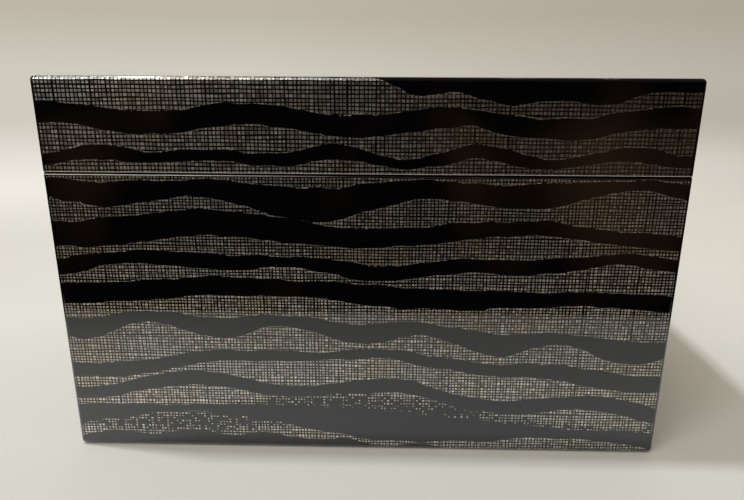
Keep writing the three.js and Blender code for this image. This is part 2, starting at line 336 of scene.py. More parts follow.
# %% Tones and coats
black_lacquer_colour = "#030303"
powder_dark = "#93877a"
powder_light = "#faeedb"
powder_cool = "#b9bfc4"
powder_gold = "#c3b186"
powder_rubbed = "#67625a"
# Painted shade on the lid's powder, round its front right corner, mixes towards this tone.
powder_in_painted_shade = "#6e6458"
black_roughness, powder_roughness = 0.05, 0.4
relief_strength, relief_depth = 0.25, 0.06
clear_coat_ior = 1.5
clear_coat_roughness = 0.012
print(f"each coat reflects {((clear_coat_ior - 1) / (clear_coat_ior + 1)) ** 2:.0%} head on")

# %% [markdown]
# ## Worn edges
#
# Round the lid's top the polishing cloth has rubbed through the threads. The rounded edge there is bare
# powder, darker than the rest, all but a few specks of thread, wherever no band crosses it. The upright
# arrises were lacquered black again. Soft edges here are in millimetres or in shares of a noise.

# %% Arrises and the rubbed edge
black_arris = (1.1, 1.7)
black_corner = (2.4, 3.2)
rubbed_middle = 0.25
rubbed_edge = (0.85, 1.15)
speck_size = 0.9
speck_share = (0.44, 0.53)


def clear_of_arrises(tree, along, black_reach):
    """0 on the four upright arrises, which were lacquered black again, and 1 elsewhere."""
    half_way_round = add(tree, "Math", {0: along, 1: wrap_length / 2}, operation="MODULO")
    nearest = None
    for corner in (0.0, box_width, wrap_length / 2):
        offset = add(tree, "Math", {0: half_way_round, 1: corner}, operation="SUBTRACT")
        distance = add(tree, "Math", {0: offset}, operation="ABSOLUTE")
        if nearest is None:
            nearest = distance
        else:
            nearest = add(tree, "Math", {0: nearest, 1: distance}, operation="MINIMUM")
    return add(tree, "MapRange", {
        "Value": nearest, "From Min": black_reach[0], "From Max": black_reach[1],
    })


def rubbed_through(tree, place, along, up):
    """1 round the lid's top edge, where the threads are rubbed off, and not above 0 elsewhere."""
    from_edge = add(tree, "Math", {0: up, 1: box_height + rubbed_middle}, operation="SUBTRACT")
    distance = add(tree, "Math", {0: from_edge}, operation="ABSOLUTE")
    off_edge = add(tree, "MapRange", {
        "Value": distance, "From Min": rubbed_edge[0], "From Max": rubbed_edge[1],
    })
    specks = add(tree, "TexNoise", {"Vector": place, "Scale": 1 / speck_size}, noise_dimensions="2D")
    bare = add(tree, "MapRange", {
        "Value": specks, "From Min": speck_share[0], "From Max": speck_share[1],
    })
    off_corners = clear_of_arrises(tree, along, black_corner)
    rubbed = add(tree, "Math", {0: bare, 1: off_corners}, operation="MULTIPLY")
    return add(tree, "Math", {0: rubbed, 1: off_edge}, operation="SUBTRACT")


print(f"rubbed strip {2 * rubbed_edge[0]:.1f} mm wide, arris {2 * black_arris[0]:.1f} mm wide")

# %% [markdown]
# ## Band edges drawn by hand
#
# A brush drew the bands over the cloth, so their edges wander, slowly along the band and finely from
# thread to thread. Powder was dusted along each edge, so in places a thin line of it runs over the
# threads there.

# %% Band edges
# Lengths are in millimetres, and rates are waves per millimetre.
fine_wander, fine_wander_rate = 0.5, 0.9
slow_wander, slow_wander_rates = 2.4, (1 / 15, 1 / 6, 0.0)
band_edge_softness = 0.07
band_line_place, band_line_edge = 0.13, (0.07, 0.15)
dusted_share = (0.45, 0.8)


def drawn_by_hand(tree, place, up):
    """The height, moved a little up and down by noise, and the fine part of that noise."""
    # Noise averages a half, so half of each reach is taken off again.
    slow_place = add(tree, "VectorMath", {0: place, 1: slow_wander_rates}, operation="MULTIPLY")
    lowered = add(tree, "Math", {0: up, 1: (fine_wander + slow_wander) / 2}, operation="SUBTRACT")
    hand = add(tree, "TexNoise", {"Vector": slow_place, "Scale": 1.0, "Detail": 1.0},
               noise_dimensions="2D")
    by_hand = add(tree, "Math", {0: hand, 1: slow_wander, 2: lowered}, operation="MULTIPLY_ADD")
    fray = add(tree, "TexNoise", {"Vector": place, "Scale": fine_wander_rate, "Detail": 2.0},
               noise_dimensions="2D")
    wandering = add(tree, "Math", {0: fray, 1: fine_wander, 2: by_hand}, operation="MULTIPLY_ADD")
    return wandering, fray


def dusted_line(tree, depth, fray, worn_share):
    """The thin line of powder just outside a band, broken in places and lost where the foot is worn."""
    beside_band = add(tree, "Math", {0: depth, 1: band_line_place}, operation="ADD")
    off_line = add(tree, "Math", {0: beside_band}, operation="ABSOLUTE")
    dusted = add(tree, "MapRange", {
        "Value": fray, "From Min": dusted_share[0], "From Max": dusted_share[1],
    })
    off_line_share = add(tree, "MapRange", {
        "Value": off_line, "From Min": band_line_edge[0], "From Max": band_line_edge[1],
    })
    line_lost = add(tree, "Math", {0: off_line_share, 1: worn_share}, operation="ADD")
    return add(tree, "Math", {0: dusted, 1: line_lost}, operation="SUBTRACT")


print(f"band edges wander by {(fine_wander + slow_wander) / 2:.2f} mm at most")

# %% [markdown]
# ## Powder tones
#
# Each gap of the cloth holds its own pinch of powder, lighter or darker than its neighbours. Over wide
# patches the powder looks cooler or more golden. On the lid, round the front right corner, painted
# shade darkens the powder. Near the foot of the body it thins out, gap by gap, until only scattered dots
# are left, and these are smaller.

# %% Powder tones
patch_scale = 0.045
cool_patches, cool_most = (0.52, 0.7), 0.4
gold_patches, gold_most = (0.46, 0.3), 0.45
# Where painted shade darkens the lid's powder most, in millimetres round the box, and how much.
deepest_shade_at = 240.0
corner_shade_from, corner_shade_most = 0.3, 0.6


def powder_tone(tree, place, gap_lot):
    """The powder's colour, gap by gap and in wide patches."""
    gap_lots = add(tree, "SeparateXYZ", {0: gap_lot.outputs["Color"]})
    shade = add(tree, "Mix", {
        "Factor": gap_lots.outputs[1], 6: powder_dark, 7: powder_light,
    }, data_type="RGBA")
    patches = add(tree, "TexNoise", {"Vector": place, "Scale": patch_scale, "Detail": 2.0},
                  noise_dimensions="2D")
    cool_share = add(tree, "MapRange", {
        "Value": patches, "From Min": cool_patches[0], "From Max": cool_patches[1], "To Max": cool_most,
    })
    cooled = add(tree, "Mix", {
        "Factor": cool_share, 6: shade.outputs[2], 7: powder_cool,
    }, data_type="RGBA")
    gold_share = add(tree, "MapRange", {
        "Value": patches, "From Min": gold_patches[0], "From Max": gold_patches[1], "To Max": gold_most,
    })
    gilded = add(tree, "Mix", {
        "Factor": gold_share, 6: cooled.outputs[2], 7: powder_gold,
    }, data_type="RGBA")
    return gilded.outputs[2]


def lid_powder_tone(tree, along, powder_colour, rubbed):
    """The lid's powder: painted shade round its front right corner, and darker where it is rubbed bare.
    """
    rate = 2 * math.pi / wrap_length
    turned = add(tree, "Math", {0: along, 1: rate, 2: -rate * deepest_shade_at},
                 operation="MULTIPLY_ADD")
    swing = add(tree, "Math", {0: turned}, operation="COSINE")
    corner_shade_share = add(tree, "MapRange", {
        "Value": swing, "From Min": corner_shade_from, "To Max": corner_shade_most,
    })
    # Painted shade: the lid's powder is darkened round its front right corner.
    shaded_powder = add(tree, "Mix", {
        "Factor": corner_shade_share, 6: powder_colour, 7: powder_in_painted_shade,
    }, data_type="RGBA")
    with_edge = add(tree, "Mix", {
        "Factor": rubbed, 6: shaded_powder.outputs[2], 7: powder_rubbed,
    }, data_type="RGBA")
    return with_edge.outputs[2]


print(f"patches about {1 / patch_scale:.0f} mm wide")

# %% Worn powder near the foot
worn_edge = (-2.0, 2.0)
thinning_edge = (-4.0, 3.5)
thin_patch_length = 6.25
thin_patch_share = 0.9
thinned_most = 0.62
thin_dots_shrunk = 0.08


def powder_kept(tree, place, thin_depth, gap_lot):
    """1 in the gaps that kept their powder and 0 in those that lost it."""
    thin_here = add(tree, "MapRange", {
        "Value": thin_depth, "From Min": thinning_edge[0], "From Max": thinning_edge[1],
        "To Min": -thin_patch_share, "To Max": thinned_most - thin_patch_share / 2,
    })
    thin_patches = add(tree, "TexNoise", {
        "Vector": place, "Scale": 1 / thin_patch_length, "Detail": 3.0,
    }, noise_dimensions="2D")
    lost_share = add(tree, "Math", {0: thin_patches, 1: thin_patch_share, 2: thin_here},
                     operation="MULTIPLY_ADD")
    return add(tree, "Math", {0: gap_lot.outputs["Value"], 1: lost_share}, operation="GREATER_THAN")


print(f"deep in the worn stretch about {thinned_most:.0%} of the gaps have lost their powder")

# %% [markdown]
# ## The finish of the skins
#
# Here the layers come together. Powder shows in the gaps of the cloth, outside the bands and off the
# arrises, and lies a little lower than the black.

# %% The finish of the skins
def lacquer_over_cloth(name, bands, weave, thin_bands=()):
    """Threads and bands in black lacquer over tin powder, under clear lacquer."""
    material, tree, output = start_material(name)
    on_lid = weave is lid_weave
    place = add(tree, "UVMap", uv_map="wrap")
    split = add(tree, "SeparateXYZ", {0: place})
    along, up = split.outputs[0], split.outputs[1]

    worn_share, thickening = 0.0, 0.0
    if thin_bands:
        thin_depth = depth_in_bands(tree, along, up, thin_bands)
        worn_share = add(tree, "MapRange", {
            "Value": thin_depth, "From Min": worn_edge[0], "From Max": worn_edge[1],
        })
        thickening = add(tree, "Math", {0: worn_share, 1: thin_dots_shrunk}, operation="MULTIPLY")
    upright_open, upright_gap = threads(tree, place, 0, weave, thickening)
    level_open, level_gap = threads(tree, place, 1, weave, thickening)
    gap_place = add(tree, "CombineXYZ", {0: upright_gap, 1: level_gap})
    gap_lot = add(tree, "TexWhiteNoise", {"Vector": gap_place}, noise_dimensions="2D")
    gap = add(tree, "Math", {0: upright_open, 1: level_open}, operation="MULTIPLY")
    if on_lid:
        rubbed = rubbed_through(tree, place, along, up)
        gap = add(tree, "Math", {0: gap, 1: rubbed}, operation="MAXIMUM")

    wandering, fray = drawn_by_hand(tree, place, up)
    depth = depth_in_bands(tree, along, wandering, bands)
    line = dusted_line(tree, depth, fray, worn_share)
    gap = add(tree, "Math", {0: gap, 1: line}, operation="MAXIMUM")
    outside_bands = add(tree, "MapRange", {
        "Value": depth, "From Min": -band_edge_softness, "From Max": band_edge_softness,
        "To Min": 1.0, "To Max": 0.0,
    })
    inside_edges = clear_of_arrises(tree, along, black_arris)
    ground = add(tree, "Math", {0: gap, 1: inside_edges}, operation="MULTIPLY")
    powder = add(tree, "Math", {0: ground, 1: outside_bands}, operation="MULTIPLY")
    if thin_bands:
        kept = powder_kept(tree, place, thin_depth, gap_lot)
        powder = add(tree, "Math", {0: powder, 1: kept}, operation="MULTIPLY")

    powder_colour = powder_tone(tree, place, gap_lot)
    if on_lid:
        powder_colour = lid_powder_tone(tree, along, powder_colour, rubbed)
    base = add(tree, "Mix", {
        "Factor": powder, 6: black_lacquer_colour, 7: powder_colour,
    }, data_type="RGBA")
    roughness = add(tree, "MapRange", {
        "Value": powder, "To Min": black_roughness, "To Max": powder_roughness,
    })
    relief = add(tree, "Bump", {
        "Height": powder, "Strength": relief_strength, "Distance": relief_depth * MM,
    }, invert=True)
    lacquer = add(tree, "BsdfPrincipled", {
        "Base Color": base.outputs[2], "Metallic": powder, "Roughness": roughness, "Normal": relief,
        "IOR": clear_coat_ior, "Coat Weight": 1.0, "Coat Roughness": clear_coat_roughness,
        "Coat IOR": clear_coat_ior,
    })
    tree.links.new(lacquer.outputs[0], output.inputs["Surface"])
    return material


lid_side_finish = lacquer_over_cloth("lacquer_over_cloth_lid", lid_bands, lid_weave)
lid_top_finish = lacquer_over_cloth("lacquer_over_cloth_lid_top", top_bands, lid_weave)
body_finish = lacquer_over_cloth("lacquer_over_cloth_body", body_bands, body_weave, [thin_stretch])
print("body finish nodes:", len(body_finish.node_tree.nodes))

# %% [markdown]
# ## Plain black lacquer
#
# The inside, the lining and the tray are black lacquer, rubbed down and polished. A polished coat is
# never quite even: it keeps a faint haze in places and very low waves.

# %% Plain black lacquer
black_low, black_high = "#060505", "#120d0b"
haze_length, haze_share = 16.7, (0.3, 0.7)
haze_roughness = (0.09, 0.2)
polish_wave_length, polish_wave_height = 7.14, 0.2
polish_wave_strength = 0.12
last_coat_weight, last_coat_roughness = 0.6, 0.05


def polished_black(name):
    """Black lacquer, polished, with a faint haze and low waves."""
    material, tree, output = start_material(name)
    place = add(tree, "TexCoord").outputs["Object"]
    haze = add(tree, "TexNoise", {"Vector": place, "Scale": 1 / (haze_length * MM), "Detail": 4.0})
    roughness = add(tree, "MapRange", {
        "Value": haze, "From Min": haze_share[0], "From Max": haze_share[1],
        "To Min": haze_roughness[0], "To Max": haze_roughness[1],
    })
    tone = add(tree, "Mix", {"Factor": haze, 6: black_low, 7: black_high}, data_type="RGBA")
    waves = add(tree, "TexNoise", {"Vector": place, "Scale": 1 / (polish_wave_length * MM)})
    low_waves = add(tree, "Bump", {
        "Height": waves, "Strength": polish_wave_strength, "Distance": polish_wave_height * MM,
    })
    lacquer = add(tree, "BsdfPrincipled", {
        "Base Color": tone.outputs[2], "Roughness": roughness, "Normal": low_waves,
        "IOR": clear_coat_ior, "Coat Weight": last_coat_weight, "Coat Roughness": last_coat_roughness,
    })
    tree.links.new(lacquer.outputs[0], output.inputs["Surface"])
    return material


inside_finish = polished_black("polished_black_lacquer")
print("made", inside_finish.name)

# %% [markdown]
# ## Tin rims
#
# A thin strip of tin edges the mouth of the body and of the lid. Tin is a soft white metal that dulls
# to a warm grey, with fine rubbing marks. Dulled tin scatters part of its light as a paint does, so it
# is only half a mirror. Where the two rims meet, painted shade turns the tin black and takes away its
# reflection, a little further on the lid's rim. The body's rim is also darkened by painted shade, from
# left of the middle to the right.

# %% Tin
seam_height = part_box("body_tin_rim")[1].z
# Painted shade where the two rims meet: its colour and its soft edge.
seam_shade_colour = "#030303"
seam_shade_softness = 0.07
dulled_metal = 0.5
# Painted shade on the rims, from this x in millimetres to the right.
rim_shade_from, rim_shade_full = -60.0, -5.0
dull_patch_length = 11.1
# Real rubbing marks are too fine to show here, so they are drawn about a millimetre apart.
mark_length, mark_depth, mark_strength = 1.11, 0.05, 0.1
mark_roughness = (0.4, 0.6)


def rubbed_tin(name, dull_colour, bright_colour, rim_shade_colour, seam_shade_reach):
    """Tin, dulled by handling, with rubbing marks, painted shade at the seam and towards the right."""
    material, tree, output = start_material(name)
    place = add(tree, "TexCoord").outputs["Object"]
    dulling = add(tree, "TexNoise", {
        "Vector": place, "Scale": 1 / (dull_patch_length * MM), "Detail": 5.0,
    })
    metal_tone = add(tree, "Mix", {
        "Factor": dulling, 6: dull_colour, 7: bright_colour,
    }, data_type="RGBA")
    split = add(tree, "SeparateXYZ", {0: place})
    rim_shade_share = add(tree, "MapRange", {
        "Value": split.outputs[0], "From Min": rim_shade_from * MM, "From Max": rim_shade_full * MM,
    })
    rim_shaded_tone = add(tree, "Mix", {
        "Factor": rim_shade_share, 6: metal_tone.outputs[2], 7: rim_shade_colour,
    }, data_type="RGBA")
    from_seam = add(tree, "Math", {0: split.outputs[2], 1: seam_height}, operation="SUBTRACT")
    distance = add(tree, "Math", {0: from_seam}, operation="ABSOLUTE")
    seam_unshaded_share = add(tree, "MapRange", {
        "Value": distance, "From Min": seam_shade_reach * MM,
        "From Max": (seam_shade_reach + seam_shade_softness) * MM,
    })
    tone = add(tree, "Mix", {
        "Factor": seam_unshaded_share, 6: seam_shade_colour, 7: rim_shaded_tone.outputs[2],
    }, data_type="RGBA")
    # The painted shade at the seam also takes away the reflection, at a glancing angle too.
    seam_reflection_tint = add(tree, "Mix", {"Factor": seam_unshaded_share, 6: "#000000", 7: "#ffffff"}, data_type="RGBA")
    metal_share = add(tree, "MapRange", {"Value": seam_unshaded_share, "To Min": 1.0, "To Max": dulled_metal})
    marks = add(tree, "TexNoise", {"Vector": place, "Scale": 1 / (mark_length * MM)})
    roughness = add(tree, "MapRange", {
        "Value": marks, "To Min": mark_roughness[0], "To Max": mark_roughness[1],
    })
    fine_marks = add(tree, "Bump", {
        "Height": marks, "Strength": mark_strength, "Distance": mark_depth * MM,
    })
    metal = add(tree, "BsdfPrincipled", {
        "Base Color": tone.outputs[2], "Metallic": metal_share, "Roughness": roughness,
        "Specular Tint": seam_reflection_tint.outputs[2], "Normal": fine_marks,
    })
    tree.links.new(metal.outputs[0], output.inputs["Surface"])
    return material


# The third colour is what a rim turns to towards the right, painted shade on the body's rim. The last
# number is the half width of the painted shade at the seam.
lid_rim_finish = rubbed_tin("rubbed_tin_of_lid", "#b8b1a4", "#f0ebdf", "#d2ccc0", 0.38)
body_rim_finish = rubbed_tin("rubbed_tin_of_body", "#c0b9ac", "#f4efe4", "#2a2622", 0.3)
print(f"tin rims meet at {seam_height / MM:.1f} mm")

# %% [markdown]
# ## Bare wood
#
# The boards and pegs under the skin are bare. The boards are a straight-grained softwood, and the
# pegs are a harder, darker wood. Growth rings show as stripes along the board, so noise is stretched
# along the grain.

# %% Wood
grain_stretch = 25
grain_depth, grain_strength = 0.2, 0.2
bare_wood_roughness, bare_wood_ior = 0.65, 1.5
softwood_tones = ("#d9bf93", "#a9834f")
hardwood_tones = ("#a27a4c", "#6b4626")


def bare_wood(name, tones, ring_spacing, grain_axis):
    """Straight-grained wood, early and late in each ring, with its grain along one axis."""
    material, tree, output = start_material(name)
    place = add(tree, "TexCoord")
    squeeze = [1 / (ring_spacing * MM)] * 3
    squeeze[grain_axis] /= grain_stretch
    along_grain = add(tree, "VectorMath", {0: place.outputs["Object"], 1: squeeze},
                      operation="MULTIPLY")
    rings = add(tree, "TexNoise", {"Vector": along_grain, "Scale": 1.0, "Detail": 3.0})
    tone = add(tree, "Mix", {"Factor": rings, 6: tones[0], 7: tones[1]}, data_type="RGBA")
    grain = add(tree, "Bump", {
        "Height": rings, "Strength": grain_strength, "Distance": grain_depth * MM,
    })
    wood = add(tree, "BsdfPrincipled", {
        "Base Color": tone.outputs[2], "Roughness": bare_wood_roughness, "Normal": grain,
        "IOR": bare_wood_ior,
    })
    tree.links.new(wood.outputs[0], output.inputs["Surface"])
    return material


long_board_finish = bare_wood("softwood_long_boards", softwood_tones, 1.6, 0)
short_board_finish = bare_wood("softwood_short_boards", softwood_tones, 1.6, 1)
peg_finish = bare_wood("hardwood_pegs", hardwood_tones, 0.8, 2)
print("made three woods")

# %% [markdown]
# ## The two skins
#
# Each skin follows the plan of the box, so it is made as a stack of rings: a ring is the plan drawn
# in by some inset, at some height. The pattern needs to know how far round the box a point is and
# how high up, so each ring point carries its way round, and the faces get it as a UV map in
# millimetres. At a rounded edge the way up is height plus inset, which carries the pattern over.

# %% Rings
def ring(inset, height):
    """Points of the plan at one inset and height, each with its way round the box."""
    half_width = box_width / 2 - inset
    half_depth = box_depth / 2 - inset
    radius = max(corner_radius - inset, inner_corner_radius)
    corners = [(1, -1, box_width), (1, 1, box_width + box_depth),
               (-1, 1, 2 * box_width + box_depth), (-1, -1, wrap_length)]
    points = []
    for number, (side_x, side_y, way) in enumerate(corners):
        for step in range(corner_steps + 1):
            share = step / corner_steps
            angle = (number - 1 + share) * math.pi / 2
            x = side_x * (half_width - radius) + radius * math.cos(angle)
            y = side_y * (half_depth - radius) + radius * math.sin(angle)
            points.append((x, y, height, way + (2 * share - 1) * corner_radius))
    return points


def quarter(centre_inset, centre_height, radius, start):
    """A quarter round as (inset, height) pairs, from a starting angle in degrees."""
    angles = [math.radians(start + 90 * step / edge_steps) for step in range(edge_steps + 1)]
    return [(centre_inset - radius * math.cos(a), centre_height + radius * math.sin(a)) for a in angles]


print("points in a ring:", len(ring(0, 0)))

# %% Skin meshes
# A skin's material slots: its sides, its top and its inside.
side_slot, top_slot, inside_slot = 0, 1, 2


def skin_mesh(name, profile, outside_spans, ways_up, cap_top):
    """A closed skin through the rings of a profile of (inset, height).

    The first spans are the outside, which gets the pattern. With cap_top the profile opens at the
    top, and a face closes its outside and its inside there.
    """
    rings = [ring(inset, height) for inset, height in profile]
    count = len(rings[0])
    vertices = [Vector(point[:3]) * MM for points in rings for point in points]
    faces, wraps, slots = [], [], []
    for span in range(len(rings)):
        upper = (span + 1) % len(rings)
        if cap_top and span == outside_spans:
            continue
        for i in range(count):
            j = (i + 1) % count
            faces.append((span * count + i, span * count + j, upper * count + j, upper * count + i))
            start, end = rings[span][i][3], rings[span][j][3]
            if end < start:
                start -= wrap_length
            wraps.append([(start, ways_up[span]), (end, ways_up[span]),
                          (end, ways_up[upper]), (start, ways_up[upper])])
            slots.append(side_slot if span < outside_spans else inside_slot)
    if cap_top:
        outer_cap = range(outside_spans * count, (outside_spans + 1) * count)
        inner_cap = reversed(range((outside_spans + 1) * count, (outside_spans + 2) * count))
        for cap, slot in ((outer_cap, top_slot), (inner_cap, inside_slot)):
            cap = list(cap)
            faces.append(cap)
            places = [vertices[v] / MM for v in cap]
            wraps.append([(p.x + box_width / 2, box_height + p.y + box_depth / 2) for p in places])
            slots.append(slot)
    mesh = bpy.data.meshes.new(name)
    mesh.from_pydata(vertices, [], faces)
    layer = mesh.uv_layers.new(name="wrap")
    for polygon, wrap, slot in zip(mesh.polygons, wraps, slots):
        polygon.material_index = slot
        polygon.use_smooth = True
        for loop, place in zip(polygon.loop_indices, wrap):
            layer.data[loop].uv = place
    mesh.update()
    return mesh


def place_skin(mesh, body, node, finishes):
    """Puts a skin in the scene on its body, in place of the model's plainer one."""
    skin = bpy.data.objects.new(mesh.name, mesh)
    bpy.context.scene.collection.objects.link(skin)
    for finish in finishes:
        mesh.materials.append(finish)
    # Flat faces keep flat reflections when the larger face sets the normals at its edges.
    flats = skin.modifiers.new("flats_stay_flat", "WEIGHTED_NORMAL")
    flats.weight = 100
    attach(skin, body)
    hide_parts(node)
    print(skin.name, len(mesh.vertices), "vertices")


# %% [markdown]
# ## Body skin and lid skin
#
# The body's skin rounds the foot and turns under the bottom board. The lid's skin is a cap: rounded
# round the top, open at the mouth.

# %% Body skin
foot_centre = body_skin_foot + foot_edge_radius
body_outside = [
    (skin_turn_under, body_skin_foot),
    *quarter(foot_edge_radius, foot_centre, foot_edge_radius, -90),
    (0, body_skin_top),
]
body_inside = [
    (skin_thickness, body_skin_top),
    *reversed(quarter(foot_edge_radius, foot_centre, foot_edge_radius - skin_thickness, -90)),
    (skin_turn_under, body_skin_foot + skin_thickness),
]
body_profile = body_outside + body_inside
body_ways_up = [height - inset for inset, height in body_profile]
place_skin(
    skin_mesh("body_lacquered_cloth", body_profile, len(body_outside) - 1, body_ways_up, cap_top=False),
    "body", "body_cloth_skin", (body_finish, body_finish, inside_finish),
)

# %% Lid skin
lid_outside = [
    (0, lid_skin_foot),
    *quarter(lid_edge_radius, box_height - lid_edge_radius, lid_edge_radius, 0),
]
lid_inside = [(skin_thickness, box_height - skin_thickness), (skin_thickness, lid_skin_foot)]
lid_profile = lid_outside + lid_inside
lid_ways_up = [height + inset for inset, height in lid_profile]
place_skin(
    skin_mesh("lid_lacquered_cloth", lid_profile, len(lid_outside) - 1, lid_ways_up, cap_top=True),
    "lid", "lid_cloth_skin", (lid_side_finish, lid_top_finish, inside_finish),
)

# %% [markdown]
# ## Finishes of the model's own pieces
#
# The record names a material slot for every piece, so each piece gets the finish of its slot. The
# long and the short boards differ only in the way that their grain runs.

# %% Finishes by slot
finish_by_slot = {"black_lacquer": inside_finish, "peg_wood": peg_finish, "cloth_lacquer": body_finish}
for part in frame["record"]["subparts"]:
    piece = frame["nodes"][part["node"]]
    if part["material_slot"] == "core_wood":
        runs_across = "front" in piece.name or "back" in piece.name
        finish = long_board_finish if runs_across else short_board_finish
    elif part["material_slot"] == "tin":
        finish = lid_rim_finish if piece.name.startswith("lid") else body_rim_finish
    else:
        finish = finish_by_slot[part["material_slot"]]
    piece.data.materials.clear()
    piece.data.materials.append(finish)

# %% [markdown]
# ## What lies round the box
#
# The box stands on a white table. Its polished front mirrors the table up to the table's edge, and
# above that it mirrors a dark room, which gives the front its grey foot and black top. So the floor
# and the world have two looks. To the eye the floor is pale as far as one can see, and far away it
# takes the colour of the background, so that no line shows between them. To a mirrored ray it is a
# table that ends near the box, with the dark room beyond. Lengths on the floor and in the room are in
# metres, unless they are multiplied by the millimetre.

# %% Background
# Painted light: the backdrop is lighter on the left, towards the window.
wall_left, wall_right = "#beb7a8", "#aea498"
far_table_left, far_table_right = "#cfcbbf", "#b9b2a6"
tone_turns_across = (-0.2, 0.5)
wall_tone_from = 0.08


def background_tone(tree, direction):
    """The background's colour in a direction: painted light on the left, towards the window, and lighter
    low down.
    """
    split = add(tree, "SeparateXYZ", {0: direction})
    rightward = add(tree, "MapRange", {
        "Value": split.outputs[0], "From Min": tone_turns_across[0], "From Max": tone_turns_across[1],
    })
    far_table = add(tree, "Mix", {
        "Factor": rightward, 6: far_table_left, 7: far_table_right,
    }, data_type="RGBA")
    wall = add(tree, "Mix", {"Factor": rightward, 6: wall_left, 7: wall_right}, data_type="RGBA")
    upward = add(tree, "MapRange", {"Value": split.outputs[2], "From Max": wall_tone_from})
    tone = add(tree, "Mix", {
        "Factor": upward, 6: far_table.outputs[2], 7: wall.outputs[2],
    }, data_type="RGBA")
    return tone.outputs[2]


print("wall from", wall_left, "to", wall_right)

# %% [markdown]
# ## The dark room
#
# The dark room is noise with soft edges. On the floor its shapes stand round a point behind the box,
# level with the lid's top, so that they look upright in the box's front. The noise has a fourth
# direction, and the pick is a place along it: another pick gives other shapes.

# %% Dark room
room_dark = "#050508"
room_lit = "#75543f"
shapes_centre = (0.0, 0.13, 0.14)
shapes_squeeze, shapes_scale = (1.0, 1.0, 0.6), 5.0
shapes_pick = 0.0
shapes_share = (0.55, 0.85)


def dark_room_tone(tree, direction):
    """What the polish mirrors beyond the table: a dark room with faint, warm, upright shapes."""
    squeezed = add(tree, "VectorMath", {0: direction, 1: shapes_squeeze}, operation="MULTIPLY")
    shapes = add(tree, "TexNoise", {
        "Vector": squeezed, "W": shapes_pick, "Scale": shapes_scale, "Detail": 1.0,
    }, noise_dimensions="4D")
    share = add(tree, "MapRange", {
        "Value": shapes, "From Min": shapes_share[0], "From Max": shapes_share[1],
    })
    tone = add(tree, "Mix", {"Factor": share, 6: room_dark, 7: room_lit}, data_type="RGBA")
    return tone.outputs[2]


print("dark room from", room_dark, "to", room_lit)

# %% [markdown]
# ## The table
#
# The table carries painted light and shade: a painted pool of light well behind the box, towards the
# window, and painted shade before the box. Beside the box it is a little darker on the left than on the
# right. Its mirror image has its own tones: painted light at the left, and painted shade towards the
# edge.

# %% Table tones
table_grain_length = 111.0
table_grain_low, table_grain_high = "#d6d4cc", "#dedcd4"
# Painted light: the table is lighter towards the window.
window_light_pool_tone = "#e5e3dc"
towards_window, window_brightens = (-0.3, 0.95, 0.0), (0.28, 0.55)
# Painted shade: the table is darker before the box, more on the left.
painted_shade_before_box = "#c2c0b8"
front_lightens_back, front_lightens_right = (-0.12, 0.04), (-0.35, 0.1)
front_left_share = 0.35
# The mirrored table: painted light at the left, painted shade towards its edge.
mirrored_lit_left, mirrored_right, mirrored_shaded_far = "#e8e8e6", "#c6c9c8", "#a2a29e"
mirrored_turns_across = (-0.18, 0.06)
mirrored_darkens_from = 0.02
table_reach = 137.5
table_edge_softness = 4.0


def lit_table_tone(tree, place, spot):
    """The table's colour to the eye, with painted light towards the window and painted shade before the
    box.
    """
    grain = add(tree, "TexNoise", {"Vector": place, "Scale": 1 / (table_grain_length * MM)})
    grainy = add(tree, "Mix", {
        "Factor": grain, 6: table_grain_low, 7: table_grain_high,
    }, data_type="RGBA")
    from_front = add(tree, "MapRange", {
        "Value": spot.outputs[1], "From Min": front_lightens_back[0],
        "From Max": front_lightens_back[1],
    })
    from_left = add(tree, "MapRange", {
        "Value": spot.outputs[0], "From Min": front_lightens_right[0],
        "From Max": front_lightens_right[1], "To Min": front_left_share,
    })
    out_of_front_shade = add(tree, "Math", {0: from_front, 1: from_left}, operation="MULTIPLY")
    with_front_shade = add(tree, "Mix", {
        "Factor": out_of_front_shade, 6: painted_shade_before_box, 7: grainy.outputs[2],
    }, data_type="RGBA")
    windowward = add(tree, "VectorMath", {0: place, 1: towards_window}, operation="DOT_PRODUCT")
    window_light_share = add(tree, "MapRange", {
        "Value": windowward.outputs["Value"], "From Min": window_brightens[0],
        "From Max": window_brightens[1],
    })
    tone = add(tree, "Mix", {
        "Factor": window_light_share, 6: with_front_shade.outputs[2], 7: window_light_pool_tone,
    }, data_type="RGBA")
    return tone.outputs[2]


def mirrored_table_tone(tree, spot, beyond_box):
    """The table's colour in the polish: painted light at the left, painted shade towards the table's
    edge.
    """
    across = add(tree, "MapRange", {
        "Value": spot.outputs[0], "From Min": mirrored_turns_across[0],
        "From Max": mirrored_turns_across[1],
    })
    near_tone = add(tree, "Mix", {
        "Factor": across, 6: mirrored_lit_left, 7: mirrored_right,
    }, data_type="RGBA")
    outward = add(tree, "MapRange", {
        "Value": beyond_box, "From Min": mirrored_darkens_from, "From Max": table_reach * MM,
    })
    tone = add(tree, "Mix", {
        "Factor": outward, 6: near_tone.outputs[2], 7: mirrored_shaded_far,
    }, data_type="RGBA")
    return tone.outputs[2]


print(f"the mirrored table ends {table_reach:.0f} mm from the box")

# %% Floor
floor_size = 12.0
table_roughness = 0.6
background_from, background_full = 0.35, 2.2


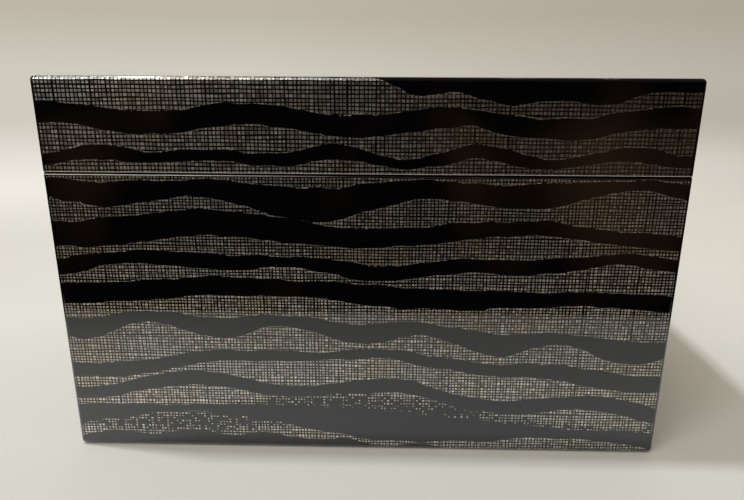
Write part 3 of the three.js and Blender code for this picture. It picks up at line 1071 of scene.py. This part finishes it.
def pale_floor(name):
    """A white table that fades into the background and mirrors as dark beyond the table's edge."""
    material, tree, output = start_material(name)
    rays = add(tree, "LightPath")
    place = add(tree, "NewGeometry").outputs["Position"]
    spot = add(tree, "SeparateXYZ", {0: place})
    table = add(tree, "BsdfPrincipled", {
        "Base Color": lit_table_tone(tree, place, spot), "Roughness": table_roughness,
    })
    direction = add(tree, "VectorMath", {0: place}, operation="NORMALIZE")
    background = add(tree, "Emission", {"Color": background_tone(tree, direction)})
    distance = add(tree, "VectorMath", {0: place}, operation="LENGTH")
    fade = add(tree, "MapRange", {
        "Value": distance.outputs["Value"], "From Min": background_from, "From Max": background_full,
    }, interpolation_type="SMOOTHSTEP")
    seen = add(tree, "MixShader", {0: fade, 1: table, 2: background})

    sides = add(tree, "VectorMath", {0: place}, operation="ABSOLUTE")
    half_box = (box_width / 2 * MM, box_depth / 2 * MM, 0.0)
    past_sides = add(tree, "VectorMath", {0: sides, 1: half_box}, operation="SUBTRACT")
    split = add(tree, "SeparateXYZ", {0: past_sides})
    beyond_box = add(tree, "Math", {0: split.outputs[0], 1: split.outputs[1]}, operation="MAXIMUM")
    off_table = add(tree, "MapRange", {
        "Value": beyond_box, "From Min": (table_reach - table_edge_softness / 2) * MM,
        "From Max": (table_reach + table_edge_softness / 2) * MM,
    })
    table_in_polish = add(tree, "BsdfDiffuse", {"Color": mirrored_table_tone(tree, spot, beyond_box)})
    from_centre = add(tree, "VectorMath", {0: place, 1: shapes_centre}, operation="SUBTRACT")
    towards_shapes = add(tree, "VectorMath", {0: from_centre}, operation="NORMALIZE")
    dark_room = add(tree, "Emission", {"Color": dark_room_tone(tree, towards_shapes)})
    mirrored = add(tree, "MixShader", {0: off_table, 1: table_in_polish, 2: dark_room})
    both = add(tree, "MixShader", {0: rays.outputs["Is Glossy Ray"], 1: seen, 2: mirrored})
    tree.links.new(both.outputs[0], output.inputs["Surface"])
    return material


floor_mesh = bpy.data.meshes.new("floor")
half_floor = floor_size / 2
floor_mesh.from_pydata(
    [(x * half_floor, y * half_floor, 0) for x, y in ((-1, -1), (1, -1), (1, 1), (-1, 1))],
    [], [(0, 1, 2, 3)],
)
floor_mesh.materials.append(pale_floor("pale_floor"))
floor = bpy.data.objects.new("floor", floor_mesh)
bpy.context.scene.collection.objects.link(floor)
print("floor", floor_size, "m wide")

# %% [markdown]
# ## The room
#
# One pale colour lights the box from all round. What the camera sees behind the box is the background.
# The polish mirrors that pale background behind the box, a dark grey ceiling above, and the dark room
# on the other sides.

# %% Room
ambient_colour = "#c9c1b5"
ceiling_colour = "#4c4a46"
ceiling_from, ceiling_full = 0.15, 0.95
wall_behind_from, wall_behind_full = 0.45, 0.9


def soft_room(name):
    """Light from all round, a pale background, and a dark room for mirrored rays."""
    world = bpy.data.worlds.new(name)
    world.use_nodes = True
    tree = world.node_tree
    tree.nodes.clear()
    rays = add(tree, "LightPath")
    direction = add(tree, "TexCoord").outputs["Generated"]
    split = add(tree, "SeparateXYZ", {0: direction})
    upward = add(tree, "MapRange", {
        "Value": split.outputs[2], "From Min": ceiling_from, "From Max": ceiling_full,
    }, interpolation_type="SMOOTHSTEP")
    mirrored = add(tree, "Mix", {
        "Factor": upward, 6: dark_room_tone(tree, direction), 7: ceiling_colour,
    }, data_type="RGBA")
    backdrop = background_tone(tree, direction)
    behind = add(tree, "MapRange", {
        "Value": split.outputs[1], "From Min": wall_behind_from, "From Max": wall_behind_full,
    })
    with_wall = add(tree, "Mix", {
        "Factor": behind, 6: mirrored.outputs[2], 7: backdrop,
    }, data_type="RGBA")
    unseen = add(tree, "Mix", {
        "Factor": rays.outputs["Is Glossy Ray"], 6: ambient_colour, 7: with_wall.outputs[2],
    }, data_type="RGBA")
    tone = add(tree, "Mix", {
        "Factor": rays.outputs["Is Camera Ray"], 6: unseen.outputs[2], 7: backdrop,
    }, data_type="RGBA")
    room = add(tree, "Background", {"Color": tone.outputs[2], "Strength": 1.0})
    add(tree, "OutputWorld", {"Surface": room})
    return world


bpy.context.scene.world = soft_room("soft_room")
print("room", ambient_colour)

# %% [markdown]
# ## Lamps
#
# The small ceiling lamp throws the box's clear shadow to the right. The large front lamp lights the
# table before the box and shows as a thin line in the left half of the lid's rounded edge. The low
# window lamp, on the left, makes the powder brighter there. Places and widths are in metres, and
# powers in watts.

# %% Lamps
def soft_lamp(name, place, width, power, tint):
    """A square lamp that faces the middle of the box."""
    data = bpy.data.lights.new(name, "AREA")
    data.size = width
    data.energy = power
    data.color = colour(tint)[:3]
    lamp = bpy.data.objects.new(name, data)
    bpy.context.scene.collection.objects.link(lamp)
    from_box = Vector(place) - Vector((0, 0, box_height / 2 * MM))
    facing = from_box.to_track_quat("Z", "Y").to_matrix().to_4x4()
    lamp.matrix_world = Matrix.Translation(place) @ facing
    return lamp


soft_lamp("ceiling_lamp", (-1.19, 0.075, 3.0), 0.18, 54.0, "#f2f8ff")
soft_lamp("front_lamp", (-0.47, -0.75, 1.35), 0.72, 5.6, "#ffffff")
soft_lamp("window_lamp", (-0.72, -0.72, 0.62), 0.45, 2.8, "#f8fbff")
bpy.context.scene.view_settings.view_transform = "Standard"
print("three lamps and a pale room")
